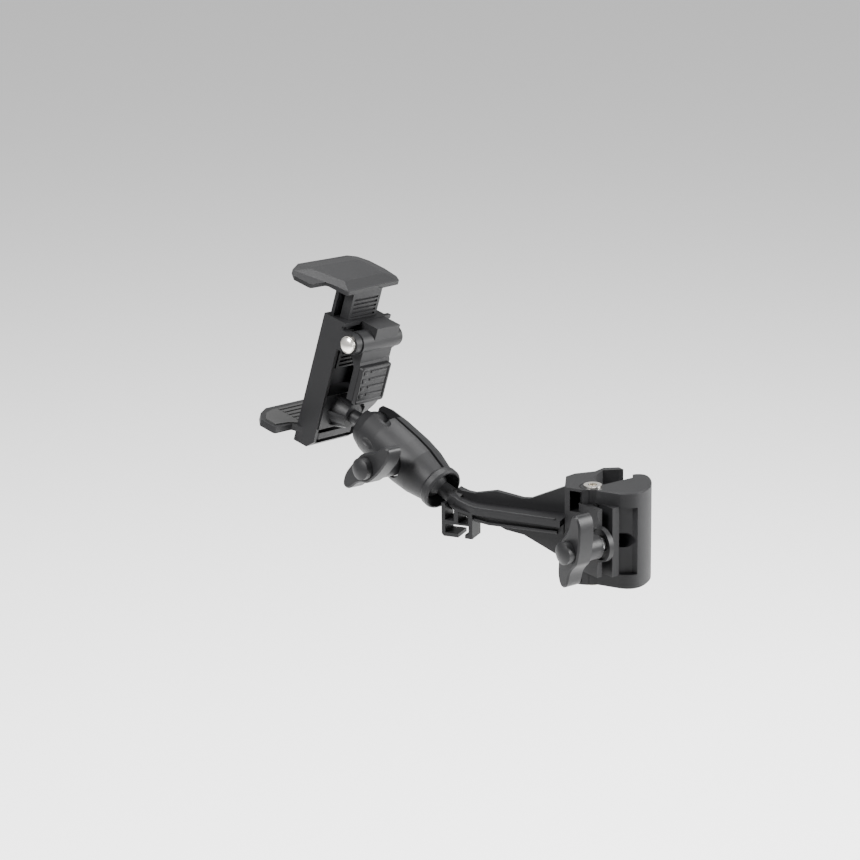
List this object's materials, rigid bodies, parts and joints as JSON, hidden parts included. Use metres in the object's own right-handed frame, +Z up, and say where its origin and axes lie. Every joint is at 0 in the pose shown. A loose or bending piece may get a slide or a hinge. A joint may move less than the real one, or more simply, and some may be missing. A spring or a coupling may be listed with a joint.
{
  "type": "phone holder",
  "caption": "Spring-jaw phone holder on a double ball socket and a ribbed arm, with a hinged screw clamp that grips a round pole; wing knobs lock the clamp and the socket.",
  "frame": {"origin": "on the axis of the gripped pole, at the clamp's mid height", "axes": "+Z up along the pole, the arm leaves the clamp towards -X"},
  "size_m": [0.2, 0.1602, 0.1448],
  "materials": {
    "black_plastic": "finely textured dark grey moulding",
    "knob_plastic": "smooth satin dark grey moulding",
    "rubber": "soft black pad",
    "nickel": "bright nickel rivet",
    "steel": "plain zinc steel",
    "brass": "machined brass"
  },
  "bodies": {
    "arm": {"arm_bracket": "black_plastic", "hinge_pin": "nickel", "screw_insert": "brass"},
    "clamp_jaw": {"clamp_jaw": "black_plastic"},
    "thrust_cap": {"thrust_cap": "steel"},
    "clamp_knob": {"clamp_knob": "knob_plastic", "clamp_knob_cap": "knob_plastic", "clamp_screw": "steel"},
    "socket_ring": {"socket_ring": "black_plastic"},
    "socket": {"socket_shell_front": "black_plastic", "socket_shell_rear": "black_plastic", "socket_bolt": "steel", "socket_spring": "steel"},
    "socket_washer": {"socket_washer": "steel"},
    "socket_knob": {"socket_knob": "knob_plastic", "socket_knob_cap": "knob_plastic", "socket_knob_nut": "brass"},
    "ball_stud": {"ball_stud": "black_plastic"},
    "holder": {"holder_body": "black_plastic", "lower_jaw_pad": "rubber", "back_pads": "rubber", "lever_pin": "nickel"},
    "upper_jaw": {"upper_jaw": "black_plastic", "upper_jaw_pad": "rubber"},
    "release_lever": {"release_lever": "black_plastic"}
  },
  "joints": [
    {"name": "clamp_screw_travel", "type": "slide", "parent": "arm", "child": "thrust_cap", "axis": [0.8192, 0.5736, 0], "range_m": [-0.00303, 0.00303]},
    {"name": "clamp_knob_turn", "type": "hinge", "parent": "thrust_cap", "child": "clamp_knob", "pos_m": [-0.01032, -0.03408, 0], "axis": [0.8192, 0.5736, 0], "range_deg": [-870, 870]},
    {"name": "jaw_swing", "type": "hinge", "parent": "arm", "child": "clamp_jaw", "pos_m": [-0.0122, -0.0177, 0], "axis": [0, 0, 1], "range_deg": [-12, 12]},
    {"name": "socket_tilt", "type": "hinge", "parent": "arm", "child": "socket_ring", "pos_m": [-0.0929, 0.0213, 0.0179], "axis": [0.6071, 0.1062, 0.7875], "range_deg": [-1, 40]},
    {"name": "socket_turn", "type": "hinge", "parent": "socket_ring", "child": "socket", "pos_m": [-0.0929, 0.0213, 0.0179], "axis": [0.6153, -0.6899, -0.3813], "range_deg": [-90, 90]},
    {"name": "socket_knob_travel", "type": "slide", "parent": "socket", "child": "socket_washer", "axis": [-0.7269, -0.6837, 0.064], "range_m": [0, 0.0015]},
    {"name": "socket_knob_turn", "type": "hinge", "parent": "socket_washer", "child": "socket_knob", "pos_m": [-0.11207, 0.02541, 0.0253], "axis": [-0.7269, -0.6837, 0.064], "range_deg": [0, 540]},
    {"name": "stud_tilt", "type": "hinge", "parent": "socket", "child": "ball_stud", "pos_m": [-0.12115, 0.05297, 0.0354], "axis": [-0.7269, -0.6837, 0.064], "range_deg": [-30, 6]},
    {"name": "holder_spin", "type": "hinge", "parent": "ball_stud", "child": "holder", "pos_m": [-0.12115, 0.05297, 0.0354], "axis": [0.7476, -0.6134, -0.2546], "continuous": true},
    {"name": "jaw_slide", "type": "slide", "parent": "holder", "child": "upper_jaw", "axis": [0.2516, -0.0931, 0.9633], "range_m": [-0.0135, 0.012]},
    {"name": "lever_release", "type": "hinge", "parent": "holder", "child": "release_lever", "pos_m": [-0.12696, 0.05633, 0.08095], "axis": [0.6146, 0.7843, -0.0847], "range_deg": [0, 8], "stiffness_Nm_per_rad": 0.4, "springref_deg": -14.32}
  ],
  "couplings": [
    {"joint": "clamp_screw_travel", "follows": "clamp_knob_turn", "m_per_rad": 0.00019894},
    {"joint": "jaw_swing", "follows": "clamp_knob_turn", "ratio": 0.01372},
    {"joint": "socket_knob_travel", "follows": "socket_knob_turn", "m_per_rad": 0.00015915}
  ]
}
